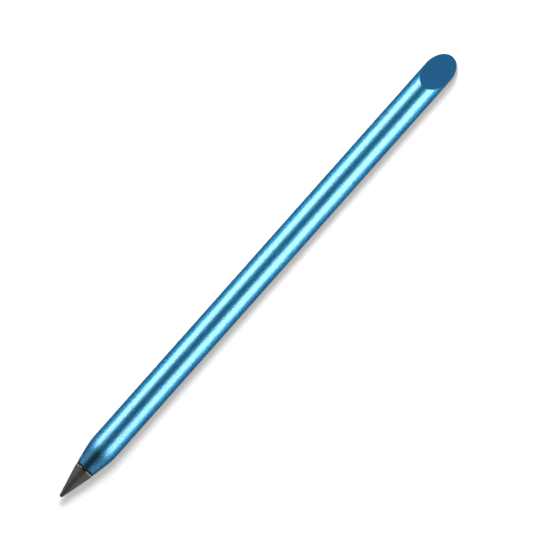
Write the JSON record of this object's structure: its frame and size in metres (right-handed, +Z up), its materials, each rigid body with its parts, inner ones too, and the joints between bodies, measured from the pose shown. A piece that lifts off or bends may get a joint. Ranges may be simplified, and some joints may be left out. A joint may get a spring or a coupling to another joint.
{
  "type": "inkless metal pencil",
  "caption": "Slim round inkless pencil: tapered anodised metal tube cut on a slant at its far end, with a dark writing tip that unscrews from the nose.",
  "frame": {"origin": "below the middle of the pencil's length, on the surface that its round barrel lies on", "axes": "+X along the pencil from the writing point to the far end, +Z up, with the slanted face looking up and towards +X"},
  "size_m": [0.176, 0.009, 0.009],
  "materials": {
    "blue_anodised": "satin",
    "blue_face": "matte",
    "brass": "satin",
    "black_nylon": "matte",
    "steel": "satin",
    "graphite": "satin"
  },
  "bodies": {
    "barrel": {"barrel": "blue_anodised", "end_plug": "blue_face", "nose_bush": "brass"},
    "washer": {"lock_washer": "black_nylon"},
    "nib": {"nib_holder": "steel", "nib": "graphite"}
  },
  "joints": [
    {"name": "nib_lead", "type": "slide", "parent": "barrel", "child": "washer", "axis": [-1, 0, 0], "range_m": [0, 0.0063]},
    {"name": "nib_turn", "type": "hinge", "parent": "washer", "child": "nib", "pos_m": [-0.0765, 0, 0.0045], "axis": [-1, 0, 0], "range_deg": [0, 3240]}
  ],
  "couplings": [
    {"joint": "nib_turn", "follows": "nib_lead", "rad_per_m": 8976}
  ]
}
